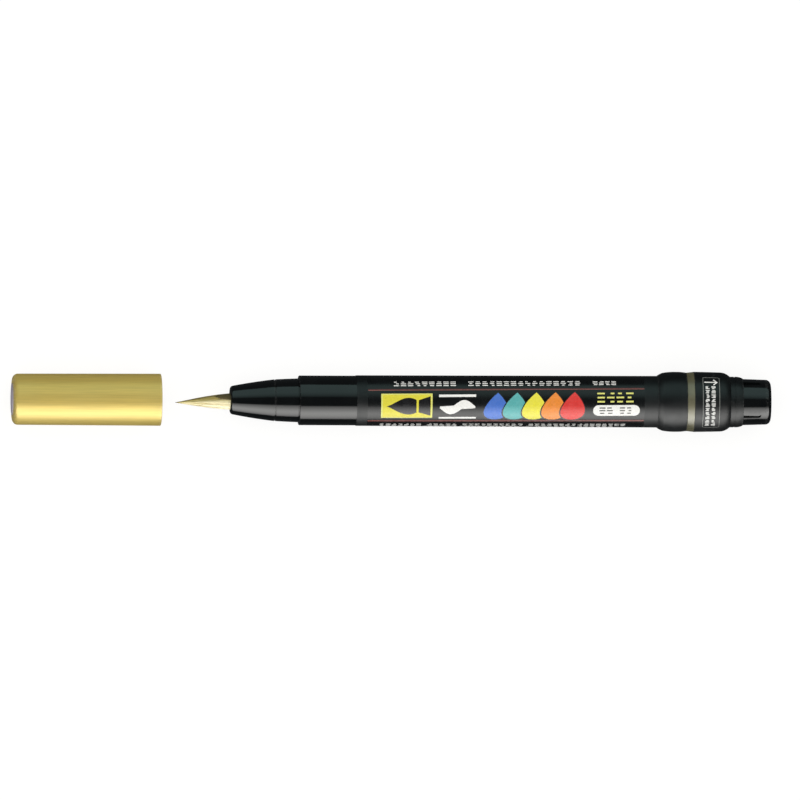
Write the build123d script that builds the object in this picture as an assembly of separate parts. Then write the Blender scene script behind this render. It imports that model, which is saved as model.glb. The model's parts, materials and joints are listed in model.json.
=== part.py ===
from build123d import *
import os

# A brush-tipped paint marker with a push-button pump, its cap pulled off and lying in line in front of it.
# Millimetres. X is the pen's axis: the brush points to -X and the button to +X. Z is up.
# The origin is on the axis at the barrel's front face, which is where the cap's mouth stops.
# Every "_x" is a place along that axis, and every outline below is (x, radius), turned about it.

# Places along the axis, from brush to button
brush_tip_x = -29.0
nozzle_front_x = -16.1
neck_front_x = -5.65
barrel_front_x = 0.0
film_front_x = 13.45
collar_front_x = 84.2
barrel_back_x = 93.0
ring_front_x = 91.1
ring_back_x = 92.75
shoulder_back_x = 101.32
sleeve_back_x = 104.3
button_front_x = 99.0
button_back_x = 110.9

# Cap
cap_pulled_off = 32.35
cap_length = 34.9
cap_mouth_radius = 6.1
cap_end_radius = 6.0
cap_end_edge = 1.3
cap_mouth_edge = 0.2
cap_bore_radius = 5.25
cap_end_wall = 1.5
plug_radius = 3.75
plug_proud = 0.15
plug_edge = 0.12
plug_flange = 0.6
liner_floor = 0.9
liner_radius = 4.5
liner_bead_radius = 4.25
liner_mouth_depth = 9.6
liner_bead_depth = 1.7
liner_bead_land = 0.2
liner_bead_slope = 0.5

# Brush, nozzle and neck
brush_radius = 1.95
brush_taper = (-24.8, 0.80)
brush_belly_x = -20.4
brush_belly_radius = 1.62
brush_swell = (-18.1, 1.83)
brush_hole_radius = 2.3
ferrule_front_x = -14.6
ferrule_flange_x = -11.9
ferrule_back_x = -11.1
ferrule_radius = 2.2
ferrule_seat_radius = 2.9
ferrule_gap = 0.05
spigot_radius = 3.6
spigot_front_x = -9.0
nozzle_front_radius = 3.25
nozzle_front_edge = 0.75
nozzle_middle = (-10.4, 4.26)
nozzle_back_radius = 4.90
fine_edge = 0.12
neck_middle = (-2.8, 5.035)
neck_back_radius = 5.13
neck_groove_width = 0.2
neck_groove_depth = 0.22
insert_radius = 4.68
insert_back_x = 9.0
feed_bore_radius = 2.4
feed_flange_radius = 3.4
feed_flange_x = 8.2
feed_front_x = -6.0
tube_radius = 0.6
tube_bore_radius = 0.35
tube_front_x = -14.4
tube_back_x = 2.0
tube_end_gap = 0.2
tube_side_gap = 0.05

# Barrel and film
barrel_radius = 5.82
barrel_back_radius = 5.94
barrel_edge = 0.25
tank_radius = 4.70
film_thickness = 0.10

# Collars and colour ring
collar_lip_radius = 6.10
collar_nose = (84.72, 6.44)
collar_shoulder = (85.5, 6.78)
collar_rise = (86.9, 6.97)
collar_crest = (88.8, 7.02)
collar_fall = (90.2, 6.96)
collar_back_radius = 6.83
collar_bore_radius = 5.97
ring_front_radius = 6.84
ring_back_radius = 7.02
ring_edge = 0.06
rear_collar_radius = 7.05
rear_collar_middle = (96.0, 7.0)
rear_shoulder = (98.9, 6.93)
rear_shoulder_middle = (100.35, 6.61)
spigot_collar_radius = 6.3
spigot_collar_back_x = 97.3
spigot_end_gap = 0.2
flange_back_x = 93.9
sleeve_radius = 5.93
sleeve_edge_x = 102.75
sleeve_edge_middle = (103.75, 5.78)
sleeve_mouth_radius = 5.57
sleeve_groove_x = 102.2
sleeve_groove_width = 0.3
sleeve_groove_depth = 0.12
button_bore_radius = 5.48

# Button and its guide slots, which are square in front and round behind
button_radius = 5.41
button_back_radius = 5.20
button_inner_radius = 4.4
button_wall = 1.6
button_edge = 1.2
button_front_edge = 0.2
boss_radius = 2.4
boss_front_x = 103.5
slot_width = 1.25
slot_depth = 0.5
slot_front_x = 103.1
slot_back_x = 108.5
slot_count = 4
slot_angle = 37.0
key_width = 1.15
key_depth = 0.45
key_root = 0.2
key_front_x = 103.2
key_back_x = 103.85

# Pump, valve and return spring
cylinder_front_x = 79.0
cylinder_radius = 4.66
chamber_front_x = 83.2
chamber_radius = 3.0
cylinder_flange_radius = 5.85
cage_front_x = 77.6
cage_back_x = 80.2
cage_radius = 2.2
pocket_radius = 1.15
pocket_front_x = 78.2
pocket_back_x = 82.2
port_length = 0.5
port_width = 0.7
outlet_radius = 0.5
check_ball_radius = 1.0
check_ball_x = 81.30
rod_radius = 1.48
rod_end_gap = 0.1
rod_side_gap = 0.02
head_front_x = 89.5
head_back_x = 91.9
head_radius = 2.94
groove_front_x = 90.05
groove_back_x = 91.35
groove_gap = 0.04
spring_radius = 3.65
spring_wire_radius = 0.25
spring_turns = 8
valve_spring_radius = 0.75
valve_wire_radius = 0.1
valve_spring_turns = 4
valve_spring_gap = 0.03
return_spring_gap = 0.02

# O-rings and the mixing ball
seal_wire_radius = 0.4
seal_groove_width = 1.1
neck_seal_x = 4.6
tank_seal_x = 86.6
mixing_ball_radius = 2.0
mixing_ball_x = 40.0
mixing_ball_gap = 0.05

cap_mouth_x = barrel_front_x - cap_pulled_off
cap_end_x = cap_mouth_x - cap_length
seal_radius = tank_radius - seal_wire_radius
seal_groove_radius = tank_radius - 2 * seal_wire_radius


def turned(start, *steps):
    """Turn a closed outline about X. A step is the next corner, or an arc's (middle, end)."""
    edges = []
    here = start
    for step in steps:
        if isinstance(step[0], tuple):
            middle, end = step
            edges.append(ThreePointArc(here, middle, end))
        else:
            end = step
            edges.append(Line(here, end))
        here = end
    edges.append(Line(here, start))
    return revolve(make_face(edges), Axis.X)


def disc(front, back, radius, hole=0.0):
    """A plain turned disc, or a ring if it has a hole."""
    return turned((front, hole), (front, radius), (back, radius), (back, hole))


def circles_at(solid, x, radius):
    """The solid's round edges at one place and radius, for rounding off."""
    return [
        edge
        for edge in solid.edges().filter_by(GeomType.CIRCLE)
        if abs(edge.center(CenterOf.BOUNDING_BOX).X - x) < 0.01 and abs(edge.radius - radius) < 0.01
    ]


def o_ring(x, radius):
    return Pos(X=x) * Rot(Y=90) * Torus(radius, seal_wire_radius)


def seal_groove(x):
    """What is cut from a plug to hold one of the two O-rings that seal against the tank's wall."""
    half = seal_groove_width / 2
    return disc(x - half, x + half, tank_radius + 1, seal_groove_radius)


def coil_spring(front, back, radius, wire_radius, turns):
    """A round-wire spring whose end turns lie against the planes at front and back."""
    length = back - front - 2 * wire_radius
    path = Pos(X=front + wire_radius) * Rot(Y=90) * Helix(length / turns, length, radius)
    section = Plane(path @ 0, z_dir=path % 0) * Circle(wire_radius)
    return sweep(section, path=path, is_frenet=True)


def cap_shell():
    outside = turned(
        (cap_mouth_x, cap_bore_radius),
        (cap_mouth_x, cap_mouth_radius),
        (cap_end_x, cap_end_radius),
        (cap_end_x, plug_radius),
        (cap_end_x + cap_end_wall, plug_radius),
        (cap_end_x + cap_end_wall, cap_bore_radius),
    )
    rounded = fillet(circles_at(outside, cap_end_x, cap_end_radius), cap_end_edge)
    rounded = fillet(circles_at(rounded, cap_mouth_x, cap_mouth_radius), cap_mouth_edge)
    return chamfer(circles_at(rounded, cap_mouth_x, cap_bore_radius), cap_mouth_edge)


def cap_end_plug():
    face_x = cap_end_x - plug_proud
    inner_x = cap_end_x + cap_end_wall
    plug = turned(
        (face_x, 0),
        (face_x, plug_radius),
        (inner_x, plug_radius),
        (inner_x, cap_bore_radius),
        (inner_x + plug_flange, cap_bore_radius),
        (inner_x + plug_flange, 0),
    )
    return fillet(circles_at(plug, face_x, plug_radius), plug_edge)


def cap_liner():
    """A cup that lines the cap. The bead near its mouth closes round the nozzle when the cap is on."""
    back_x = cap_end_x + cap_end_wall + plug_flange
    floor_x = back_x + liner_floor
    mouth_x = cap_mouth_x - liner_mouth_depth
    bead_x = mouth_x - liner_bead_depth
    bead_half = liner_bead_land + liner_bead_slope
    return turned(
        (back_x, 0),
        (back_x, cap_bore_radius),
        (mouth_x, cap_bore_radius),
        (mouth_x, liner_radius),
        (bead_x + bead_half, liner_radius),
        (bead_x + liner_bead_land, liner_bead_radius),
        (bead_x - liner_bead_land, liner_bead_radius),
        (bead_x - bead_half, liner_radius),
        (floor_x, liner_radius),
        (floor_x, 0),
    )


def brush_tuft():
    """The bundle of filaments as one leaf-shaped solid, drilled at its root for the feed tube."""
    tuft = turned(
        (brush_tip_x, 0),
        (brush_taper, (brush_belly_x, brush_belly_radius)),
        (brush_swell, (nozzle_front_x, brush_radius)),
        (ferrule_back_x, brush_radius),
        (ferrule_back_x, 0),
    )
    drilled_from = tube_front_x - tube_end_gap
    return tuft - disc(drilled_from, ferrule_back_x + 1, tube_radius + tube_side_gap)


def brush_ferrule():
    return turned(
        (ferrule_front_x, brush_radius),
        (ferrule_front_x, ferrule_radius),
        (ferrule_flange_x, ferrule_radius),
        (ferrule_flange_x, ferrule_seat_radius - ferrule_gap),
        (ferrule_back_x, ferrule_seat_radius - ferrule_gap),
        (ferrule_back_x, brush_radius),
    )


def nozzle():
    cone = turned(
        (nozzle_front_x, brush_hole_radius),
        (nozzle_front_x, nozzle_front_radius),
        (nozzle_middle, (neck_front_x, nozzle_back_radius)),
        (neck_front_x, spigot_radius),
        (spigot_front_x, spigot_radius),
        (spigot_front_x, ferrule_seat_radius),
        (ferrule_flange_x, ferrule_seat_radius),
        (ferrule_flange_x, brush_hole_radius),
    )
    cone = fillet(circles_at(cone, nozzle_front_x, nozzle_front_radius), nozzle_front_edge)
    cone = fillet(circles_at(cone, nozzle_front_x, brush_hole_radius), fine_edge)
    return fillet(circles_at(cone, neck_front_x, nozzle_back_radius), fine_edge)


def neck():
    """Its nose clamps the ferrule in the nozzle, its middle shows, and its insert plugs the barrel.

    A fine groove at each end of the middle parts it from the nozzle and from the barrel.
    """
    middle_front_x = neck_front_x + neck_groove_width
    middle_back_x = barrel_front_x - neck_groove_width
    body = turned(
        (ferrule_back_x, feed_bore_radius),
        (ferrule_back_x, ferrule_seat_radius - ferrule_gap),
        (spigot_front_x, ferrule_seat_radius - ferrule_gap),
        (spigot_front_x, spigot_radius),
        (neck_front_x, spigot_radius),
        (neck_front_x, nozzle_back_radius - neck_groove_depth),
        (middle_front_x, nozzle_back_radius - neck_groove_depth),
        (middle_front_x, nozzle_back_radius),
        (neck_middle, (middle_back_x, neck_back_radius)),
        (middle_back_x, neck_back_radius - neck_groove_depth),
        (barrel_front_x, neck_back_radius - neck_groove_depth),
        (barrel_front_x, insert_radius),
        (insert_back_x, insert_radius),
        (insert_back_x, feed_flange_radius),
        (feed_flange_x, feed_flange_radius),
        (feed_flange_x, feed_bore_radius),
    )
    body = fillet(circles_at(body, middle_front_x, nozzle_back_radius), fine_edge / 2)
    body = fillet(circles_at(body, middle_back_x, neck_back_radius), fine_edge / 2)
    return body - seal_groove(neck_seal_x)


def feed_tube():
    return disc(tube_front_x, tube_back_x, tube_radius, tube_bore_radius)


def feed_joint():
    """A plug that holds the feed tube and narrows from the tank down to it."""
    return turned(
        (feed_front_x, tube_radius),
        (feed_front_x, feed_bore_radius),
        (feed_flange_x, feed_bore_radius),
        (feed_flange_x, feed_flange_radius),
        (insert_back_x, feed_flange_radius),
        (insert_back_x, feed_bore_radius),
        (tube_back_x, tube_bore_radius),
        (tube_back_x, tube_radius),
    )


def barrel():
    tube = turned(
        (barrel_front_x, tank_radius),
        (barrel_front_x, barrel_radius),
        (film_front_x, barrel_radius),
        (collar_front_x, barrel_back_radius),
        (barrel_back_x, barrel_back_radius),
        (barrel_back_x, tank_radius),
    )
    return fillet(circles_at(tube, barrel_front_x, barrel_radius), barrel_edge)


def label_film():
    return turned(
        (film_front_x, barrel_radius),
        (film_front_x, barrel_radius + film_thickness),
        (collar_front_x, barrel_back_radius + film_thickness),
        (collar_front_x, barrel_back_radius),
    )


def mixing_ball():
    """It lies at the bottom of the tank."""
    drop = tank_radius - mixing_ball_radius - mixing_ball_gap
    return Pos(mixing_ball_x, 0, -drop) * Sphere(mixing_ball_radius)


def pump_cylinder():
    body = turned(
        (cylinder_front_x, cage_radius),
        (cylinder_front_x, cylinder_radius),
        (barrel_back_x, cylinder_radius),
        (barrel_back_x, cylinder_flange_radius),
        (flange_back_x, cylinder_flange_radius),
        (flange_back_x, chamber_radius),
        (chamber_front_x, chamber_radius),
        (chamber_front_x, outlet_radius),
        (pocket_back_x, outlet_radius),
        (pocket_back_x, pocket_radius),
        (cage_back_x, pocket_radius),
        (cage_back_x, cage_radius),
    )
    return body - seal_groove(tank_seal_x)


def valve_cage():
    """A thimble over the check ball, open at its nose and through four ports in its side."""
    cage = turned(
        (cage_front_x, outlet_radius),
        (cage_front_x, cage_radius),
        (cage_back_x, cage_radius),
        (cage_back_x, pocket_radius),
        (pocket_front_x, pocket_radius),
        (pocket_front_x, outlet_radius),
    )
    port = Pos(X=(pocket_front_x + cylinder_front_x) / 2) * Box(port_length, port_width, 2 * cage_radius)
    return cage - port - Rot(X=90) * port


def check_ball():
    return Pos(X=check_ball_x) * Sphere(check_ball_radius)


def valve_spring():
    """It ends just short of the check ball, at the circle where wire and ball would meet."""
    reach = ((check_ball_radius + valve_wire_radius) ** 2 - valve_spring_radius**2) ** 0.5
    back_x = check_ball_x - reach + valve_wire_radius - valve_spring_gap
    return coil_spring(
        pocket_front_x, back_x, valve_spring_radius, valve_wire_radius, valve_spring_turns
    )


def plunger():
    """Rod and piston head. The groove is wider than its ring, so air gets past on the way back."""
    rod_back_x = button_back_x - button_wall - rod_end_gap
    groove_radius = head_radius - 2 * seal_wire_radius - groove_gap
    return turned(
        (head_front_x, 0),
        (head_front_x, head_radius),
        (groove_front_x, head_radius),
        (groove_front_x, groove_radius),
        (groove_back_x, groove_radius),
        (groove_back_x, head_radius),
        (head_back_x, head_radius),
        (head_back_x, rod_radius),
        (rod_back_x, rod_radius),
        (rod_back_x, 0),
    )


def plunger_seal():
    return o_ring(groove_front_x + seal_wire_radius + groove_gap / 2, head_radius - seal_wire_radius)


def return_spring():
    front_x = flange_back_x + return_spring_gap
    back_x = button_back_x - button_wall - return_spring_gap
    return coil_spring(front_x, back_x, spring_radius, spring_wire_radius, spring_turns)


def front_collar():
    """It slides over the barrel's tail and traps the pump cylinder's flange."""
    collar = turned(
        (collar_front_x, collar_bore_radius),
        (collar_front_x, collar_lip_radius),
        (collar_nose, collar_shoulder),
        (collar_rise, collar_crest),
        (collar_fall, (ring_front_x, collar_back_radius)),
        (ring_front_x, spigot_collar_radius),
        (spigot_collar_back_x, spigot_collar_radius),
        (spigot_collar_back_x, button_bore_radius),
        (flange_back_x, button_bore_radius),
        (flange_back_x, collar_bore_radius),
    )
    return fillet(circles_at(collar, ring_front_x, collar_back_radius), fine_edge)


def colour_ring():
    ring = turned(
        (ring_front_x, spigot_collar_radius),
        (ring_front_x, ring_front_radius),
        (ring_back_x, ring_back_radius),
        (ring_back_x, spigot_collar_radius),
    )
    ring = fillet(circles_at(ring, ring_front_x, ring_front_radius), ring_edge)
    return fillet(circles_at(ring, ring_back_x, ring_back_radius), ring_edge)


def rear_collar():
    """A band, a shoulder and a grooved sleeve. Four keys in the sleeve run in the button's slots."""
    seat_x = spigot_collar_back_x + spigot_end_gap
    band = turned(
        (ring_back_x, spigot_collar_radius),
        (ring_back_x, rear_collar_radius),
        (rear_collar_middle, rear_shoulder),
        (rear_shoulder_middle, (shoulder_back_x, sleeve_radius)),
        (sleeve_edge_x, sleeve_radius),
        (sleeve_edge_middle, (sleeve_back_x, sleeve_mouth_radius)),
        (sleeve_back_x, button_bore_radius),
        (seat_x, button_bore_radius),
        (seat_x, spigot_collar_radius),
    )
    band = fillet(circles_at(band, ring_back_x, rear_collar_radius), ring_edge)
    groove_back_edge_x = sleeve_groove_x + sleeve_groove_width
    groove_floor_radius = sleeve_radius - sleeve_groove_depth
    band -= disc(sleeve_groove_x, groove_back_edge_x, rear_collar_radius, groove_floor_radius)
    key_size = (key_back_x - key_front_x, key_width, key_depth + key_root)
    key = Box(*key_size, align=(Align.MIN, Align.CENTER, Align.MIN))
    key = Pos(key_front_x, 0, button_bore_radius - key_depth) * key
    for turn in slot_turns():
        band += turn * key
    return band


def slot_turns():
    return [Rot(X=slot_angle + 360 / slot_count * number) for number in range(slot_count)]


def knock_button():
    """A cup with a socket for the plunger's rod, and four blind slots down its side."""
    wall_x = button_back_x - button_wall
    cup = turned(
        (button_front_x, button_inner_radius),
        (button_front_x, button_radius),
        (sleeve_back_x, button_radius),
        (button_back_x, button_back_radius),
        (button_back_x, 0),
        (wall_x, 0),
        (wall_x, button_inner_radius),
    )
    cup = fillet(circles_at(cup, button_back_x, button_back_radius), button_edge)
    cup = chamfer(circles_at(cup, button_front_x, button_radius), button_front_edge)
    cup += disc(boss_front_x, wall_x, boss_radius, rod_radius + rod_side_gap)
    floor = button_radius - slot_depth
    round_end_x = slot_back_x - slot_width / 2
    slot_size = (round_end_x - slot_front_x, slot_width, 2 * slot_depth)
    slot = Box(*slot_size, align=(Align.MIN, Align.CENTER, Align.MIN))
    slot = Pos(slot_front_x, 0, floor) * slot
    round_end = Cylinder(slot_width / 2, 2 * slot_depth, align=(Align.CENTER, Align.CENTER, Align.MIN))
    slot += Pos(round_end_x, 0, floor) * round_end
    for turn in slot_turns():
        cup -= turn * slot
    return cup


nodes = [
    cap_shell,
    cap_end_plug,
    cap_liner,
    brush_tuft,
    brush_ferrule,
    nozzle,
    neck,
    feed_tube,
    feed_joint,
    barrel,
    label_film,
    mixing_ball,
    pump_cylinder,
    valve_cage,
    check_ball,
    valve_spring,
    plunger,
    plunger_seal,
    return_spring,
    front_collar,
    colour_ring,
    rear_collar,
    knock_button,
]

os.makedirs("parts", exist_ok=True)
for make in nodes:
    export_step(make(), f"parts/{make.__name__}.step")
export_step(o_ring(neck_seal_x, seal_radius), "parts/neck_seal.step")
export_step(o_ring(tank_seal_x, seal_radius), "parts/tank_seal.step")
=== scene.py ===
import json
import math
import random

import bmesh
import bpy
from mathutils import Matrix, Vector


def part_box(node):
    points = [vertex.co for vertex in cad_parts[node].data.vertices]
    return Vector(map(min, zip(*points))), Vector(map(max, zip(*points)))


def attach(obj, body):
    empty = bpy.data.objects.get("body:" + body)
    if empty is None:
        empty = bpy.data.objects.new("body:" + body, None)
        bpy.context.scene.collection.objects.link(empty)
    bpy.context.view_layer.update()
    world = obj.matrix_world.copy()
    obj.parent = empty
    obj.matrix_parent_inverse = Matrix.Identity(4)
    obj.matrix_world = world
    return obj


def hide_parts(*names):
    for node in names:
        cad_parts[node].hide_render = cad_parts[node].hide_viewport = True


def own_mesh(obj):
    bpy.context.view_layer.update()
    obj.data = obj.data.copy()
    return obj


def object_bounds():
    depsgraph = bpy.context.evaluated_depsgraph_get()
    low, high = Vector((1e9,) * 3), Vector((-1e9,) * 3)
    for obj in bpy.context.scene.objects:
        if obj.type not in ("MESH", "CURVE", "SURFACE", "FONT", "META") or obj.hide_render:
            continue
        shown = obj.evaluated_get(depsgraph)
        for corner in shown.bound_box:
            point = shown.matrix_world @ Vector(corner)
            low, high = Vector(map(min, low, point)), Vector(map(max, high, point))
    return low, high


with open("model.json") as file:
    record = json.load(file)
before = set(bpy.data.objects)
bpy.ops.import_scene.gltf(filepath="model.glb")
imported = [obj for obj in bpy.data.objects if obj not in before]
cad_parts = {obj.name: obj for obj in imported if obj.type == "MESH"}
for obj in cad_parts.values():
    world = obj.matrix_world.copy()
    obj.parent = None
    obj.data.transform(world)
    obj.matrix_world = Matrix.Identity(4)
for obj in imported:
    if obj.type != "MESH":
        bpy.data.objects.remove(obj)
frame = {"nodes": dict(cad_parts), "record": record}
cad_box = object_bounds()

# A brush-tipped paint marker lying on a pale floor with its label up and its cap pulled off in line with it.
# The pen's axis is X, from the brush at -X to the push button at +X. An angle on the barrel is in degrees
# from straight up (+Z) towards the label's lower edge (-Y).

MM = 0.001
PRINT_START, PRINT_END = 2.55, 67.45    # mm from the film's front edge
LABEL_SKEW = -0.09                      # degrees of turn for each mm along the film
rng = random.Random(20)
nodes = frame["nodes"]


# ---------------------------------------------------------------- places, taken from the frame

def span(node):
    """Where a node begins and ends along the pen's axis."""
    low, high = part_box(node)
    return low.x, high.x


def skin(node, share=0.95):
    """The outer radius of a turned node at any place along the axis, read from its own vertices."""
    points = [(v.co.x, math.hypot(v.co.y, v.co.z)) for v in nodes[node].data.vertices]
    widest = max(radius for _, radius in points)
    outline = {}
    for x, radius in points:
        key = round(x, 5)
        if radius > share * widest:
            outline[key] = max(outline.get(key, 0.0), radius)
    stations = sorted(outline.items())

    def radius_at(x):
        if x <= stations[0][0]:
            return stations[0][1]
        for (x0, r0), (x1, r1) in zip(stations, stations[1:]):
            if x <= x1:
                return r0 + (r1 - r0) * (x - x0) / (x1 - x0)
        return stations[-1][1]

    return radius_at


film_front = span("label_film")[0]
nozzle_front, nozzle_back = span("nozzle")
brush_tip = span("brush_tuft")[0]
cap_end, cap_mouth = span("cap_shell")
barrel_front = span("barrel")[0]


# ---------------------------------------------------------------- materials

class Look:
    """A node material under construction: a Principled shader with noise, ramps and bump round it."""

    def __init__(self, name, roughness=0.4, **constants):
        self.material = bpy.data.materials.new(name)
        self.material.use_nodes = True
        self.tree = self.material.node_tree
        self.shader = self.tree.nodes["Principled BSDF"]
        self.shader.inputs["Roughness"].default_value = roughness
        for socket, value in constants.items():
            self.shader.inputs[socket.replace("_", " ")].default_value = value
        self.coordinates = self.add("ShaderNodeTexCoord").outputs["Object"]
        self.normal = None

    def add(self, kind, **settings):
        node = self.tree.nodes.new(kind)
        for name, value in settings.items():
            setattr(node, name, value)
        return node

    def join(self, source, target):
        self.tree.links.new(source, target)

    def stretched(self, x, y, z):
        """Object coordinates scaled unevenly, so that noise runs lengthwise or round the pen."""
        mapping = self.add("ShaderNodeMapping")
        mapping.inputs["Scale"].default_value = (x, y, z)
        self.join(self.coordinates, mapping.inputs["Vector"])
        return mapping.outputs["Vector"]

    def noise(self, size, detail=2.0, rough=0.5, where=None):
        """Smooth noise whose features are about size metres across."""
        texture = self.add("ShaderNodeTexNoise")
        texture.inputs["Scale"].default_value = 1 / size
        texture.inputs["Detail"].default_value = detail
        texture.inputs["Roughness"].default_value = rough
        self.join(where or self.coordinates, texture.inputs["Vector"])
        return texture.outputs["Fac"]

    def spread(self, value, low, high, out_low, out_high):
        """value between low and high becomes out_low to out_high, and stays there beyond them."""
        ramp = self.add("ShaderNodeMapRange", interpolation_type="SMOOTHSTEP")
        self.join(value, ramp.inputs["Value"])
        for name, number in zip(("From Min", "From Max", "To Min", "To Max"), (low, high, out_low, out_high)):
            ramp.inputs[name].default_value = number
        return ramp.outputs["Result"]

    def maths(self, operation, a, b):
        node = self.add("ShaderNodeMath", operation=operation)
        for socket, value in zip(node.inputs, (a, b)):
            if isinstance(value, (int, float)):
                socket.default_value = value
            else:
                self.join(value, socket)
        return node.outputs["Value"]

    def blend(self, amount, first, second):
        """first where amount is 0 and second where it is 1. A colour may be three numbers or a socket."""
        mix = self.add("ShaderNodeMix", data_type="RGBA")
        self.join(amount, mix.inputs["Factor"])
        for socket, colour in ((mix.inputs[6], first), (mix.inputs[7], second)):
            if isinstance(colour, tuple):
                socket.default_value = (*colour, 1.0)
            else:
                self.join(colour, socket)
        return mix.outputs[2]

    def along(self):
        """The place along the pen's axis, in metres."""
        split = self.add("ShaderNodeSeparateXYZ")
        self.join(self.coordinates, split.inputs["Vector"])
        return split.outputs["X"]

    def near(self, places, reach):
        """1 at the given places along the axis, falling to 0 at reach either side."""
        x = self.along()
        total = None
        for place in places:
            gap = self.maths("ABSOLUTE", self.maths("SUBTRACT", x, place), 0.0)
            one = self.spread(gap, 0.0, reach, 1.0, 0.0)
            total = one if total is None else self.maths("MAXIMUM", total, one)
        return total

    def bump(self, height, depth):
        """Adds relief of that depth in metres, on top of any before it."""
        node = self.add("ShaderNodeBump")
        node.inputs["Strength"].default_value = 1.0
        node.inputs["Distance"].default_value = depth
        self.join(height, node.inputs["Height"])
        if self.normal:
            self.join(self.normal, node.inputs["Normal"])
        self.normal = node.outputs["Normal"]
        self.join(self.normal, self.shader.inputs["Normal"])

    def colour(self, socket):
        self.join(socket, self.shader.inputs["Base Color"])

    def roughness(self, socket):
        self.join(socket, self.shader.inputs["Roughness"])


def tinted(colour, factor):
    return tuple(channel * factor for channel in colour)


def scratches(look, width, length):
    """1 on sparse hairlines that run along the pen, 0 elsewhere."""
    fine = look.noise(width, 3.0, 0.6, look.stretched(width / length, 1.0, 1.0))
    sparse = look.noise(6 * MM, 1.0)
    lines = look.spread(fine, 0.66, 0.72, 0.0, 1.0)
    return look.maths("MULTIPLY", lines, look.spread(sparse, 0.52, 0.62, 0.0, 1.0))


def moulded(
    name, colour, roughness, grain, grain_depth, uneven=0.2, edges=(), edge_reach=0.4 * MM, **constants,
):
    """Moulded plastic: uneven pigment and polish, fine grain, hairline scratches, and rubbed edges."""
    look = Look(name, **constants)
    cloud = look.noise(7 * MM, 3.0, 0.6)
    pigment = look.blend(look.spread(cloud, 0.3, 0.7, 0.0, 1.0), tinted(colour, 0.8), tinted(colour, 1.2))
    smoothest, roughest = roughness * (1 - uneven), roughness * (1 + uneven)
    polish = look.spread(look.noise(3 * MM, 4.0, 0.6), 0.25, 0.75, smoothest, roughest)
    lines = scratches(look, 0.05 * MM, 5 * MM)
    polish = look.maths("ADD", polish, look.maths("MULTIPLY", lines, 0.10))
    if edges:
        patchy = look.spread(look.noise(0.5 * MM, 3.0, 0.7), 0.42, 0.6, 0.0, 1.0)
        rubbed = look.maths("MULTIPLY", look.near(edges, edge_reach), patchy)
        pigment = look.blend(rubbed, pigment, tuple(channel * 1.2 + 0.02 for channel in colour))
        polish = look.maths("ADD", polish, look.maths("MULTIPLY", rubbed, 0.12))
    look.colour(pigment)
    look.roughness(polish)
    look.bump(look.noise(grain, 3.0, 0.6), grain_depth)
    look.bump(look.maths("MULTIPLY", lines, -1.0), 0.001 * MM)
    return look.material


def varnished_film(name, colour):
    """The shrunk film: bare satin at its two ends, and glossier between them where the print is varnished."""
    look = Look(name, Specular_IOR_Level=0.37)
    cloud = look.spread(look.noise(6 * MM, 3.0, 0.6), 0.3, 0.7, 0.0, 1.0)
    look.colour(look.blend(cloud, tinted(colour, 0.8), tinted(colour, 1.2)))
    place = look.along()
    start, end, fade = film_front + PRINT_START * MM, film_front + PRINT_END * MM, 0.15 * MM
    begun = look.spread(place, start - fade, start, 0.0, 1.0)
    ended = look.spread(place, end, end + fade, 1.0, 0.0)
    varnish = look.maths("MULTIPLY", begun, ended)
    polish = look.spread(look.noise(3 * MM, 4.0, 0.6), 0.25, 0.75, 0.37, 0.45)
    look.roughness(look.maths("SUBTRACT", polish, look.maths("MULTIPLY", varnish, 0.16)))
    look.bump(look.noise(0.9 * MM, 3.0, 0.6), 0.004 * MM)
    look.bump(varnish, 0.01 * MM)
    return look.material


def gold_metal(name):
    """Satin gold paint on a tube: partly metallic, with fine lengthwise grain and slightly worn ends."""
    look = Look(name, Metallic=0.24, Specular_IOR_Level=0.8)
    base = (0.56, 0.42, 0.09)
    lengthwise = look.stretched(0.03, 1.0, 1.0)
    streak = look.spread(look.noise(0.35 * MM, 4.0, 0.6, lengthwise), 0.3, 0.7, 0.0, 1.0)
    cloud = look.spread(look.noise(9 * MM, 2.0), 0.3, 0.7, 0.0, 1.0)
    toned = look.blend(streak, tinted(base, 0.9), tinted(base, 1.08))
    toned = look.blend(look.maths("MULTIPLY", cloud, 0.35), toned, (0.52, 0.405, 0.10))
    patchy = look.spread(look.noise(0.6 * MM, 3.0, 0.7), 0.4, 0.62, 0.0, 1.0)
    rubbed = look.maths("MULTIPLY", look.near((cap_end, cap_mouth), 0.7 * MM), patchy)
    toned = look.blend(look.maths("MULTIPLY", rubbed, 0.5), toned, (0.70, 0.60, 0.32))
    look.colour(toned)
    polish = look.spread(look.noise(1.2 * MM, 4.0, 0.6, lengthwise), 0.25, 0.75, 0.34, 0.44)
    look.roughness(look.maths("ADD", polish, look.maths("MULTIPLY", rubbed, -0.08)))
    look.bump(look.noise(0.09 * MM, 3.0, 0.6, look.stretched(0.05, 1.0, 1.0)), 0.004 * MM)
    look.bump(look.noise(0.05 * MM, 2.0), 0.002 * MM)
    return look.material


def ink(name, colour, roughness=0.27):
    """Printed ink, with a little mottle and uneven polish."""
    look = Look(name, Specular_IOR_Level=0.45)
    mottle = look.spread(look.noise(0.25 * MM, 3.0, 0.65), 0.3, 0.7, 0.0, 1.0)
    brighter = tuple(min(channel * 1.06, 1.0) for channel in colour)
    look.colour(look.blend(mottle, tinted(colour, 0.9), brighter))
    look.roughness(look.spread(look.noise(1.5 * MM, 3.0), 0.3, 0.7, roughness * 0.85, roughness * 1.2))
    look.bump(look.noise(0.12 * MM, 2.0), 0.0015 * MM)
    return look.material


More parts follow.
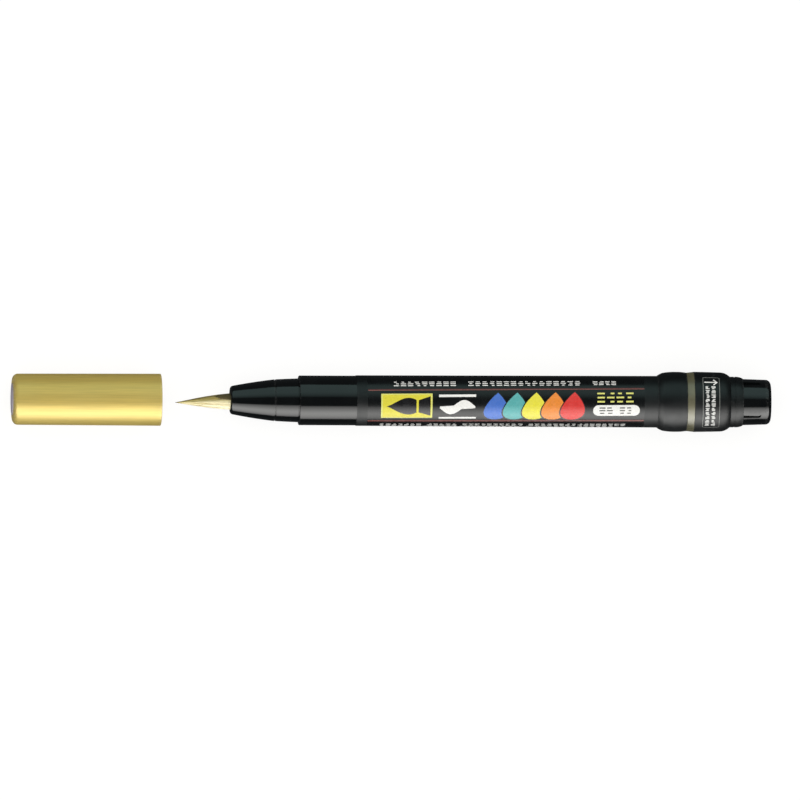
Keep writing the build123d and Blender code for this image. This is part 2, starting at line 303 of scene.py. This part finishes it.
def wet_bristle(name):
    """Fine filaments wet with metallic gold paint. Each filament's tone is stored on its mesh. That tone
    holds painted light: cream as a painted highlight on the -Y side, which faces the key card, and dark brown
    as painted shade on the +Y side.
    """
    look = Look(name, Metallic=0.3, Coat_Weight=0.3, Coat_Roughness=0.2)
    tone = look.add("ShaderNodeAttribute", attribute_name="tone").outputs["Fac"]
    along = look.noise(0.3 * MM, 3.0, 0.6, look.stretched(0.04, 1.0, 1.0))
    tone = look.maths("ADD", tone, look.maths("MULTIPLY", look.maths("SUBTRACT", along, 0.5), 0.3))
    # low tone gives dark brown, used partly as painted shade on the tuft's +Y side; high tone gives cream,
    # used partly as a painted highlight on its -Y side
    dark = look.blend(look.spread(tone, 0.0, 0.35, 0.0, 1.0), (0.085, 0.06, 0.015), (0.42, 0.33, 0.09))
    look.colour(look.blend(look.spread(tone, 0.3, 0.95, 0.0, 1.0), dark, (0.97, 0.90, 0.64)))
    look.roughness(look.spread(look.noise(0.4 * MM, 3.0), 0.3, 0.7, 0.32, 0.46))
    look.bump(look.noise(0.1 * MM, 3.0, 0.6, look.stretched(0.05, 1.0, 1.0)), 0.006 * MM)
    return look.material


def steel(name, roughness, ringed):
    """Drawn or ground steel with fine marks, and a little oil staining."""
    look = Look(name, Metallic=1.0)
    marks = look.noise(0.08 * MM, 3.0, 0.6, look.stretched(*ringed))
    stain = look.spread(look.noise(1.5 * MM, 3.0), 0.35, 0.7, 0.0, 1.0)
    look.colour(look.blend(stain, (0.60, 0.60, 0.61), (0.50, 0.49, 0.47)))
    look.roughness(look.spread(marks, 0.3, 0.7, roughness * 0.7, roughness * 1.3))
    look.bump(marks, 0.002 * MM)
    return look.material


def dress():
    """Gives every CAD node its finished material, and returns the materials by slot."""
    black = (0.0030, 0.0037, 0.0040)
    collar_edges = (*span("front_collar"), *span("colour_ring"), span("rear_collar")[1])
    finishes = {
        "gold_cap": gold_metal("cap_gold"),
        "end_plug_grey": moulded("plug_grey", (0.36, 0.33, 0.40), 0.42, 0.15 * MM, 0.006 * MM),
        "liner_white": moulded("liner_white", (0.80, 0.80, 0.76), 0.38, 0.3 * MM, 0.004 * MM),
        "gloss_black": moulded(
            "nose_gloss_black", black, 0.085, 2.2 * MM, 0.004 * MM, 0.35,
            (nozzle_front, nozzle_back), 0.35 * MM, IOR=1.5,
        ),
        "barrel_black": moulded(
            "barrel_gloss_black", black, 0.085, 2.5 * MM, 0.004 * MM, 0.35,
            (barrel_front,), 0.3 * MM, IOR=1.5,
        ),
        "button_black": moulded(
            "button_gloss_black", black, 0.10, 2.0 * MM, 0.004 * MM, 0.35,
            (span("knock_button")[1] - 1.1 * MM,), 0.5 * MM, IOR=1.5,
        ),
        "film_black": varnished_film("film_satin_black", black),
        "satin_black": moulded(
            "collar_satin_black", black, 0.37, 0.12 * MM, 0.006 * MM, 0.15,
            collar_edges, 0.35 * MM, Specular_IOR_Level=0.36,
        ),
        "ring_gold": moulded(
            "ring_olive_gold", (0.10, 0.093, 0.046), 0.34, 0.15 * MM, 0.005 * MM, Specular_IOR_Level=1.0,
        ),
        "gold_bristle": moulded("bristle_root_gold", (0.42, 0.33, 0.10), 0.35, 0.1 * MM, 0.01 * MM),
        "natural_plastic": moulded("natural_plastic", (0.72, 0.72, 0.66), 0.34, 0.4 * MM, 0.004 * MM),
        "seal_rubber": moulded("seal_rubber", (0.012, 0.012, 0.012), 0.6, 0.1 * MM, 0.008 * MM),
        "steel": steel("ball_steel", 0.12, (1.0, 1.0, 1.0)),
        "spring_steel": steel("spring_steel", 0.25, (1.0, 0.2, 0.2)),
    }
    for part in frame["record"]["subparts"]:
        obj = nodes[part["node"]]
        obj.data.materials.clear()
        obj.data.materials.append(finishes[part["material_slot"]])
    return finishes


# ---------------------------------------------------------------- meshes that ride on the marker

def skin_rings(mesh, rings):
    """Joins rings of points into a closed skin, with a flat face at each end."""
    sides = len(rings[0])
    for near, far in zip(rings, rings[1:]):
        for step in range(sides):
            following = (step + 1) % sides
            mesh.faces.new((near[step], near[following], far[following], far[step]))
    mesh.faces.new(rings[0][::-1])
    mesh.faces.new(rings[-1])


def finished_piece(name, mesh, material, smooth):
    """Makes a mesh into a named piece with one material, which rides on the marker's body."""
    data = bpy.data.meshes.new(name)
    mesh.to_mesh(data)
    mesh.free()
    if smooth:
        data.shade_smooth()
    data.materials.append(material)
    obj = bpy.data.objects.new(name, data)
    bpy.context.scene.collection.objects.link(obj)
    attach(obj, "marker")
    return obj


# ---------------------------------------------------------------- printed shapes on the turned surfaces

def rectangle(x0, x1, a0, a1):
    return [(x0, a0), (x1, a0), (x1, a1), (x0, a1)]


def rounded(x0, x1, a0, a1, corner, degree_mm, steps=5):
    """A rectangle with round corners. corner is in mm, and degree_mm is how many mm one degree spans."""
    ca = corner / degree_mm
    centres = (
        (x1 - corner, a1 - ca, 0),
        (x0 + corner, a1 - ca, 90),
        (x0 + corner, a0 + ca, 180),
        (x1 - corner, a0 + ca, 270),
    )
    outline = []
    for cx, cy, start in centres:
        for step in range(steps + 1):
            turn = math.radians(start + 90 * step / steps)
            outline.append((cx + corner * math.cos(turn), cy + ca * math.sin(turn)))
    return outline


def frame_of(outer, inner):
    """The band between two outlines with the same number of points, as four-sided patches."""
    count = len(outer)
    return [
        [outer[i], outer[(i + 1) % count], inner[(i + 1) % count], inner[i]]
        for i in range(count)
    ]


def printed(name, outlines, material, radius_at, start, lift=0.02, depth=0.015, turned=False, skew=0.0):
    """A thin printed layer wrapped on a surface of revolution. Each outline is a list of (mm from start,
    degrees), and skew adds that many degrees for each mm. The layer is cut every 3 degrees to follow the
    surface, and if turned, every 0.4 mm too, for a surface whose radius changes along the axis."""
    mesh = bmesh.new()
    for outline in outlines:
        mesh.faces.new([mesh.verts.new((x, angle, 0.0)) for x, angle in outline])
    bmesh.ops.triangulate(mesh, faces=mesh.faces[:])
    for axis, step in ((1, 3.0), (0, 0.4)):
        if axis == 0 and not turned:
            continue
        values = [v.co[axis] for v in mesh.verts]
        cut = math.ceil(min(values) / step) * step
        while cut < max(values):
            place, normal = Vector((0, 0, 0)), Vector((0, 0, 0))
            place[axis], normal[axis] = cut, 1.0
            everything = mesh.verts[:] + mesh.edges[:] + mesh.faces[:]
            bmesh.ops.bisect_plane(mesh, geom=everything, plane_co=place, plane_no=normal, dist=1e-5)
            cut += step
    grown = bmesh.ops.extrude_face_region(mesh, geom=mesh.faces[:])
    for item in grown["geom"]:
        if isinstance(item, bmesh.types.BMVert):
            item.co.z = depth
    bmesh.ops.recalc_face_normals(mesh, faces=mesh.faces[:])
    for vert in mesh.verts:
        x = start + vert.co.x * MM
        angle = math.radians(vert.co.y + skew * vert.co.x)
        radius = radius_at(x) + (lift + vert.co.z) * MM
        vert.co = (x, -radius * math.sin(angle), radius * math.cos(angle))
    finished_piece(name, mesh, material, smooth=False)


def marks(x0, x1, middle, height, width, gap, stroke, degree_mm, words=()):
    """A row of small unreadable marks, each a stack of three strokes of uneven length. words lists the marks
    that are left out, as gaps between words."""
    outlines = []
    x = x0
    count = 0
    while x + width <= x1 + 1e-6:
        count += 1
        if count in words:
            x += width
            continue
        for level in (-1, 0, 1):
            length = width * rng.choice((1.0, 1.0, 0.75, 0.5))
            offset = (width - length) * rng.random()
            centre = middle + level * (height - stroke) / 2 / degree_mm
            half = stroke / 2 / degree_mm
            outlines.append(rectangle(x + offset, x + offset + length, centre - half, centre + half))
        x += width + gap
    return outlines


def drop(x, middle, length, width, degree_mm, lean):
    """A leaning teardrop of paint, round below and pointed above."""
    outline = []
    steps = 32
    for step in range(steps):
        turn = 2 * math.pi * step / steps
        across = math.sin(turn) * math.sin(turn / 2) * width * 0.65
        down = -math.cos(turn) * length / 2
        outline.append((x + across - lean * down, middle + down / degree_mm))
    return outline


def brush_sign(x0, x1, middle, height, degree_mm):
    """A plain round brush, the same above and below its middle line: head, gap and flared handle."""
    length = x1 - x0
    half = height / 2 / degree_mm
    head_end = x0 + 0.68 * length
    upper = []
    steps = 14
    for step in range(steps + 1):
        t = step / steps
        swell = math.sin(math.pi * (t * 0.78) ** 1.25)
        upper.append((x0 + t * (head_end - x0), -half * 0.86 * swell))
    head = upper + [(x, -angle) for x, angle in reversed(upper[1:])]
    handle_start = head_end + 0.05 * length
    handle = [
        (handle_start, half * 0.62),
        (handle_start, -half * 0.62),
        (x1, -half),
        (x1, half),
    ]
    return [[(x, middle + angle) for x, angle in outline] for outline in (head, handle)]


def stroke_sign(x0, x1, middle, height, degree_mm):
    """A white pen stroke that swells and thins again."""
    half = height / 2 / degree_mm
    upper, lower = [], []
    steps = 18
    for step in range(steps + 1):
        t = step / steps
        centre = middle + half * 0.45 * math.sin(2 * math.pi * t)
        thick = half * (0.12 + 0.42 * math.sin(math.pi * t) ** 1.5)
        x = x0 + t * (x1 - x0)
        upper.append((x, centre - thick))
        lower.append((x, centre + thick))
    return upper + lower[::-1]


def label():
    """The print on the film. Places are mm from the film's front edge and degrees down from its crown at that
    edge: the film went on slightly askew, so the print climbs a little towards the button."""
    radius_at = skin("label_film")
    degree_mm = radius_at(film_front) / MM * math.pi / 180
    white = ink("ink_white", (0.90, 0.91, 0.89))
    yellow = ink("ink_yellow", (0.75, 0.68, 0.035))
    pale_yellow = ink("ink_pale_yellow", (0.76, 0.76, 0.19))
    black = ink("ink_black", (0.006, 0.006, 0.007))
    maroon = ink("ink_maroon", (0.05, 0.006, 0.006))
    rose = ink("ink_rose", (0.22, 0.075, 0.065))

    def layer(name, outlines, material, lift=0.02):
        printed(name, outlines, material, radius_at, film_front, lift, skew=LABEL_SKEW)

    layer("print_line_maroon", [
        rectangle(PRINT_START, PRINT_END, -26.6, -24.4),
        rectangle(PRINT_START, PRINT_END, 54.2, 56.2),
    ], maroon)
    layer("print_line_rose", [
        rectangle(PRINT_START, PRINT_END, -24.4, -22.6),
        rectangle(PRINT_START, PRINT_END, 50.8, 54.2),
    ], rose)

    box = (5.6, 17.65, -15.2, 43.2)
    layer("print_panel_border", [rectangle(*box)], pale_yellow)
    layer("print_panel", [rectangle(box[0] + 0.35, box[1] - 0.35, box[2] + 2.6, box[3] - 2.6)], yellow, 0.04)
    layer("print_brush_sign", brush_sign(6.9, 17.2, 14.0, 4.7, degree_mm), black, 0.06)

    layer("print_white_bars", [
        rectangle(19.2, 27.9, -12.5, -6.9),
        rectangle(19.2, 27.9, 40.7, 45.7),
    ], white)
    layer("print_white_stroke", [stroke_sign(19.4, 27.7, 16.6, 4.0, degree_mm)], white)

    paints = {
        "blue": (0.055, 0.17, 0.62),
        "teal": (0.10, 0.44, 0.44),
        "yellow": (0.84, 0.78, 0.05),
        "orange": (0.86, 0.27, 0.03),
        "red": (0.72, 0.035, 0.03),
    }
    first, step = 32.7, 4.5
    for number, (shade, colour) in enumerate(paints.items()):
        x = first + step * number
        rim = drop(x, 16.0, 7.2, 6.3, degree_mm, 0.12)
        layer(f"print_drop_{shade}_rim", [rim], black, 0.02 + 0.04 * number)
        body = drop(x, 16.0, 6.6, 5.7, degree_mm, 0.12)
        layer(f"print_drop_{shade}", [body], ink(f"ink_{shade}", colour), 0.04 + 0.04 * number)

    layer("print_yellow_marks", marks(56.4, 65.2, -3.7, 2.3, 1.75, 0.5, 0.38, degree_mm), pale_yellow)
    layer("print_pill", [rounded(55.4, 66.4, 13.3, 38.7, 1.3, degree_mm)], white)
    pill = marks(56.9, 60.4, 26.0, 1.55, 1.4, 0.35, 0.26, degree_mm)
    pill += marks(61.7, 65.0, 26.0, 1.55, 1.2, 0.3, 0.26, degree_mm)
    layer("print_pill_marks", pill, black, 0.04)

    rows = marks(8.6, 53.5, -40.5, 1.35, 1.25, 0.42, 0.24, degree_mm, words=(10, 11))
    rows += marks(55.4, 61.3, -40.5, 1.2, 1.1, 0.35, 0.22, degree_mm)
    for row, angle in enumerate((71.0, 85.0, 99.0, 113.0, 127.0, 141.0)):
        gaps = [rng.randrange(4, 40) for _ in range(3)]
        rows += marks(5.5, 64.4 - 3.0 * (row % 3), angle, 1.15, 1.1, 0.34, 0.22, degree_mm, words=gaps)
    layer("print_small_marks", rows, white)


def collar_label():
    """An outlined panel on the rear collar, with an arrow that points at the button and two rows of marks."""
    radius_at = skin("rear_collar")
    start = span("rear_collar")[0]
    degree_mm = radius_at(start) / MM * math.pi / 180
    white = bpy.data.materials["ink_white"]
    grey = ink("ink_grey", (0.22, 0.23, 0.22))

    def layer(name, outlines, material):
        printed(name, outlines, material, radius_at, start, 0.015, turned=True)

    x0, x1, a0, a1 = 1.85, 5.85, -55.0, 58.5
    outer = rounded(x0, x1, a0, a1, 0.5, degree_mm)
    inner = rounded(x0 + 0.13, x1 - 0.13, a0 + 1.1, a1 - 1.1, 0.37, degree_mm)
    layer("collar_outline", frame_of(outer, inner), grey)

    tip, tail, middle = 5.4, 2.25, -41.0
    half = 0.15 / degree_mm
    arrow = [
        rectangle(tail, tip - 0.35, middle - half, middle + half),
        [(tip, middle), (tip - 0.95, middle + 7.4), (tip - 1.15, middle + 5.6), (tip - 0.36, middle)],
        [(tip, middle), (tip - 0.36, middle), (tip - 1.15, middle - 5.6), (tip - 0.95, middle - 7.4)],
    ]
    layer("collar_arrow", arrow, white)

    columns = []
    for centre in (2.95, 4.35):
        angle = -31.0
        while angle < 52.0:
            for level in (-1, 0, 1):
                length = 0.95 * rng.choice((1.0, 0.8, 0.6))
                offset = (0.95 - length) * (rng.random() - 0.5)
                a = angle + 2.5 + level * 2.3
                columns.append(rectangle(
                    centre + offset - length / 2, centre + offset + length / 2, a - 0.75, a + 0.75,
                ))
            angle += 8.6
    layer("collar_marks", columns, white)


# ---------------------------------------------------------------- the brush

class Tuft:
    """The shape of the wet tuft, which leaves the nozzle a little to its -Y side and tapers to a point."""

    tip = brush_tip
    face = nozzle_front
    root = nozzle_front + 1.8 * MM
    half = 1.88 * MM

    def share(self, x):
        """0 at the tip, 1 at the nozzle's face."""
        return (x - self.tip) / (self.face - self.tip)

    def thickness(self, x):
        t = min(max(self.share(x), 0.0), 1.0)
        return self.half * (0.004 + t * (1.3 - 0.3 * t * t))

    def middle(self, x):
        t = min(max(self.share(x), 0.0), 1.0)
        return -(0.34 + 0.29 * (1 - t) ** 1.2) * MM

    def point(self, x, angle, height):
        """A point at that share of the tuft's thickness from its middle line."""
        radius = self.thickness(x) * height
        return Vector((x, self.middle(x) - radius * math.sin(angle), radius * math.cos(angle)))


def tube(mesh, path, radii, sides, tones, layer):
    """Adds a closed tapering tube along a path, with one tone for each point."""
    rings = []
    for index, (centre, radius) in enumerate(zip(path, radii)):
        ahead = path[min(index + 1, len(path) - 1)]
        behind = path[max(index - 1, 0)]
        direction = (ahead - behind).normalized()
        side = direction.cross(Vector((0, 0, 1))).normalized()
        up = side.cross(direction)
        ring = []
        for step in range(sides):
            turn = 2 * math.pi * step / sides
            vert = mesh.verts.new(centre + (side * math.cos(turn) + up * math.sin(turn)) * radius)
            vert[layer] = tones[index]
            ring.append(vert)
        rings.append(ring)
    skin_rings(mesh, rings)


def strand(tuft, angle, lock_angle, height, start_x, end_x, tone, tip_tone, thickness, mesh, layer, steps=18):
    """One filament from root to end. It drifts towards the middle of its lock as the tuft narrows."""
    path, radii, tones = [], [], []
    wander = rng.uniform(-0.02, 0.02)
    phase = rng.uniform(0, 2 * math.pi)
    for step in range(steps + 1):
        t = step / steps
        x = start_x + (end_x - start_x) * t
        pull = 0.62 * (1 - min(max(tuft.share(x), 0.0), 1.0)) ** 0.8
        bearing = angle + (lock_angle - angle) * pull + wander * math.sin(3 * t + phase)
        sink = 1.0 - 0.10 * max(0.0, t - 0.72) / 0.28
        path.append(tuft.point(x, bearing, height * sink))
        radii.append(thickness * (1.0 - 0.82 * t ** 2.2))
        wet_tip = min(max((x - tuft.tip) / (2.0 * MM), 0.0), 1.0)
        tones.append((tone + (tip_tone - tone) * t) * (0.1 + 0.9 * wet_tip))
    tube(mesh, path, radii, 6, tones, layer)


def brush(finish):
    """A solid wet core with its filaments over it, in locks, and one darker lock on its +Y side, which is
    painted shade along the side away from the key card.
    """
    tuft = Tuft()
    mesh = bmesh.new()
    layer = mesh.verts.layers.float.new("tone")

    core_steps, core_sides = 40, 48
    rings = []
    for step in range(core_steps + 1):
        x = tuft.root + (tuft.tip + 0.15 * MM - tuft.root) * step / core_steps
        ring = []
        for side in range(core_sides):
            angle = 2 * math.pi * side / core_sides
            ridge = 0.90 + 0.025 * math.sin(7 * angle + 1.0) + 0.012 * math.sin(17 * angle)
            vert = mesh.verts.new(tuft.point(x, angle, ridge))
            vert[layer] = 0.42
            ring.append(vert)
        rings.append(ring)
    skin_rings(mesh, rings)

    lock_count = 9
    locks = [2 * math.pi * (k + rng.uniform(-0.2, 0.2)) / lock_count for k in range(lock_count)]
    for outer, count in ((0.955, 110), (0.985, 96)):
        for number in range(count):
            angle = 2 * math.pi * (number + rng.uniform(-0.3, 0.3)) / count
            lock = min(locks, key=lambda a: abs(math.remainder(a - angle, 2 * math.pi)))
            apart = math.remainder(lock - angle, 2 * math.pi)
            crown = 1.0 - 0.035 * abs(apart) / (math.pi / lock_count)
            reach = rng.random() ** 2.2 * 0.45
            end_x = tuft.tip + reach * (tuft.face - tuft.tip)
            # painted light: 0.3 * sin(angle) makes each filament paler on the -Y side, towards the key card,
            # and darker on the +Y side; the rest is random tone per lock and per filament
            tone = 0.58 + 0.3 * math.sin(angle) + 0.1 * math.cos(3 * lock) + rng.uniform(-0.08, 0.08)
            strand(
                tuft, angle, angle + apart, outer * crown, tuft.root, end_x, tone,
                tone - 0.1, 0.075 * MM, mesh, layer,
            )

    # the darker lock is painted shade along the tuft's +Y side, away from the key card: it starts at the
    # nozzle and closes to a point
    shaded_lock_end = tuft.face - 5.4 * MM
    count = 26
    for number in range(count):
        spot = number / (count - 1)
        angle = math.radians(-70 + 58 * spot)
        closing = abs(spot - 0.3) * 1.4
        end_x = shaded_lock_end + closing * 2.8 * MM + rng.uniform(0, 0.2) * MM
        strand(
            tuft, angle, math.radians(-50), 1.015 + 0.012 * rng.random(), tuft.root, end_x,
            # tones near 0 give the dark brown of this painted shade
            rng.uniform(-0.08, 0.04), 0.0, 0.08 * MM, mesh, layer, 12,
        )

    bmesh.ops.recalc_face_normals(mesh, faces=mesh.faces[:])
    obj = finished_piece("brush_filaments", mesh, finish, smooth=True)
    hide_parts("brush_tuft")


# ---------------------------------------------------------------- springs that replace the CAD ones

def spring(name, node, wire, turns, finish):
    """A round-wire spring with closed end turns. It replaces the CAD one."""
    low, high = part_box(node)
    radius = high.z - wire
    front, back = low.x + wire, high.x - wire
    per_turn, sides = 40, 10
    count = turns * per_turn
    flat = 0.9
    path = []
    for step in range(count + 1):
        turn = step / per_turn
        inner = min(max(turn - flat, 0.0), turns - 2 * flat) / (turns - 2 * flat)
        rise = wire * 1.1
        share = min(turn, flat) / flat * rise + inner * (back - front - 2 * rise)
        share += max(0.0, turn - (turns - flat)) / flat * rise
        angle = 2 * math.pi * turn
        path.append(Vector((front + share, radius * math.cos(angle), radius * math.sin(angle))))
    mesh = bmesh.new()
    rings = []
    for index, centre in enumerate(path):
        along = (path[min(index + 1, count)] - path[max(index - 1, 0)]).normalized()
        outward = Vector((0, centre.y, centre.z)).normalized()
        third = along.cross(outward).normalized()
        rings.append([
            mesh.verts.new(centre + (outward * math.cos(t) + third * math.sin(t)) * wire)
            for t in (2 * math.pi * step / sides for step in range(sides))
        ])
    skin_rings(mesh, rings)
    bmesh.ops.recalc_face_normals(mesh, faces=mesh.faces[:])
    obj = finished_piece(name, mesh, finish, smooth=True)
    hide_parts(node)
    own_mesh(obj)


# ---------------------------------------------------------------- floor, light and camera

def floor():
    size = 6.0
    bpy.ops.mesh.primitive_plane_add(size=size, location=(0, 0, cad_box[0].z - 0.02 * MM))
    plane = bpy.context.object
    plane.name = "studio_floor"
    look = Look("studio_floor", roughness=0.9, Specular_IOR_Level=0.0)
    tone = look.spread(look.noise(0.4, 2.0), 0.3, 0.7, 0.0, 1.0)
    pale = look.blend(tone, (0.155, 0.155, 0.154), (0.16, 0.16, 0.16))
    look.colour(pale)
    look.join(pale, look.shader.inputs["Emission Color"])
    look.shader.inputs["Emission Strength"].default_value = 5.6
    plane.data.materials.append(look.material)
    plane.visible_glossy = False
    plane.visible_shadow = False


def card(name, distance, colour, profile, length=1.5):
    """A long flat light beside the pen. The profile lists (angle, brightness) from its top edge to its bottom
    edge, where an angle is in degrees from straight up, towards -Y if positive and +Y if negative."""
    first, last = profile[0][0], profile[-1][0]
    middle, half = math.radians(first + last) / 2, math.radians(abs(last - first)) / 2
    across = 2 * distance * math.tan(half)
    data = bpy.data.lights.new(name, "AREA")
    data.shape = "RECTANGLE"
    data.size, data.size_y = length, across
    data.energy = math.pi * length * across
    data.color = colour
    data.use_nodes = True
    tree = data.node_tree
    emission = tree.nodes["Emission"]
    split = tree.nodes.new("ShaderNodeSeparateXYZ")
    tree.links.new(tree.nodes.new("ShaderNodeNewGeometry").outputs["Parametric"], split.inputs["Vector"])
    ramp = tree.nodes.new("ShaderNodeValToRGB")
    tree.links.new(split.outputs["Y"], ramp.inputs["Fac"])
    brightest = max(level for _, level in profile)
    stops = ramp.color_ramp.elements
    while len(stops) < len(profile):
        stops.new(0.5)
    for stop, (angle, level) in zip(stops, profile):
        offset = math.tan(abs(math.radians(angle) - math.radians(first + last) / 2)) / math.tan(half)
        nearer_top = abs(angle) < abs(math.degrees(middle))
        stop.position = (1 - offset) / 2 if nearer_top else (1 + offset) / 2
        stop.color = (level / brightest,) * 3 + (1.0,)
    scale = tree.nodes.new("ShaderNodeMath")
    scale.operation = "MULTIPLY"
    scale.inputs[1].default_value = brightest
    tree.links.new(ramp.outputs["Color"], scale.inputs[0])
    tree.links.new(scale.outputs["Value"], emission.inputs["Strength"])
    lamp = bpy.data.objects.new(name, data)
    away = Vector((0, -math.sin(middle), math.cos(middle)))
    down = Vector((0, -math.cos(middle), -math.sin(middle))) * (1 if middle > 0 else -1)
    along = down.cross(away)
    centre = (cad_box[0] + cad_box[1]) / 2
    turn = Matrix((along, down, away)).transposed().to_4x4()
    lamp.matrix_world = Matrix.Translation(centre + away * distance) @ turn
    lamp.visible_diffuse = False
    bpy.context.scene.collection.objects.link(lamp)


def overhead(size, height, brightness, colour):
    """A broad soft light straight above, which lights the pigments but doesn't mirror in the gloss."""
    data = bpy.data.lights.new("overhead_soft", "AREA")
    data.shape = "SQUARE"
    data.size = size
    data.energy = math.pi * size * size * brightness
    data.color = colour
    lamp = bpy.data.objects.new("overhead_soft", data)
    lamp.location = (0, 0, height)
    lamp.visible_glossy = False
    bpy.context.scene.collection.objects.link(lamp)


def studio():
    card("key_card", 0.55, (1.0, 0.995, 0.97), [
        (25, 0.2), (31, 2.1), (41, 3.5), (51, 4.9), (61, 5.9), (72, 5.5), (84, 4.1), (97, 1.5),
    ])
    card("fill_card", 0.60, (0.68, 1.0, 0.97), [
        (-15, 0.1), (-25, 0.5), (-33, 0.7), (-41, 0.83), (-60, 0.83), (-78, 0.8),
    ])
    overhead(3.0, 1.2, 1.45, (1.0, 0.98, 0.94))
    world = bpy.data.worlds.new("studio")
    world.use_nodes = True
    tree = world.node_tree
    tree.nodes.clear()
    dim = tree.nodes.new("ShaderNodeBackground")
    dim.inputs["Color"].default_value = (0.85, 0.93, 1.0, 1.0)
    dim.inputs["Strength"].default_value = 0.05
    pale = tree.nodes.new("ShaderNodeBackground")
    pale.inputs["Color"].default_value = (1.0, 1.0, 1.0, 1.0)
    pale.inputs["Strength"].default_value = 1.0
    rays = tree.nodes.new("ShaderNodeLightPath")
    mix = tree.nodes.new("ShaderNodeMixShader")
    out = tree.nodes.new("ShaderNodeOutputWorld")
    tree.links.new(rays.outputs["Is Camera Ray"], mix.inputs["Fac"])
    tree.links.new(dim.outputs["Background"], mix.inputs[1])
    tree.links.new(pale.outputs["Background"], mix.inputs[2])
    tree.links.new(mix.outputs["Shader"], out.inputs["Surface"])
    bpy.context.scene.world = world
    bpy.context.scene.view_settings.view_transform = "Standard"


def camera():
    """Straight down on the label, leaning a few degrees to the brush's side and rolled a touch."""
    lean, roll = math.radians(4.2), math.radians(0.23)
    width = 187.5 * MM
    target = Vector(((cad_box[0].x + cad_box[1].x) / 2 + 2.13 * MM, 0.17 * MM, 0.0))
    back = Vector((-math.sin(lean), 0, math.cos(lean)))
    level = Vector((math.cos(lean), 0, math.sin(lean)))
    right = level * math.cos(roll) + Vector((0, 1, 0)) * math.sin(roll)
    up = back.cross(right)
    data = bpy.data.cameras.new("camera")
    data.type = "ORTHO"
    data.ortho_scale = width
    eye = bpy.data.objects.new("camera", data)
    turn = Matrix((right, up, back)).transposed().to_4x4()
    eye.matrix_world = Matrix.Translation(target + back * 0.5) @ turn
    bpy.context.scene.collection.objects.link(eye)
    bpy.context.scene.camera = eye


finishes = dress()
camera()
studio()
floor()
label()
collar_label()
brush(wet_bristle("wet_gold_bristle"))
spring("return_spring_coil", "return_spring", 0.25 * MM, 9, finishes["spring_steel"])
spring("valve_spring_coil", "valve_spring", 0.1 * MM, 5, finishes["spring_steel"])

bpy.context.view_layer.update()
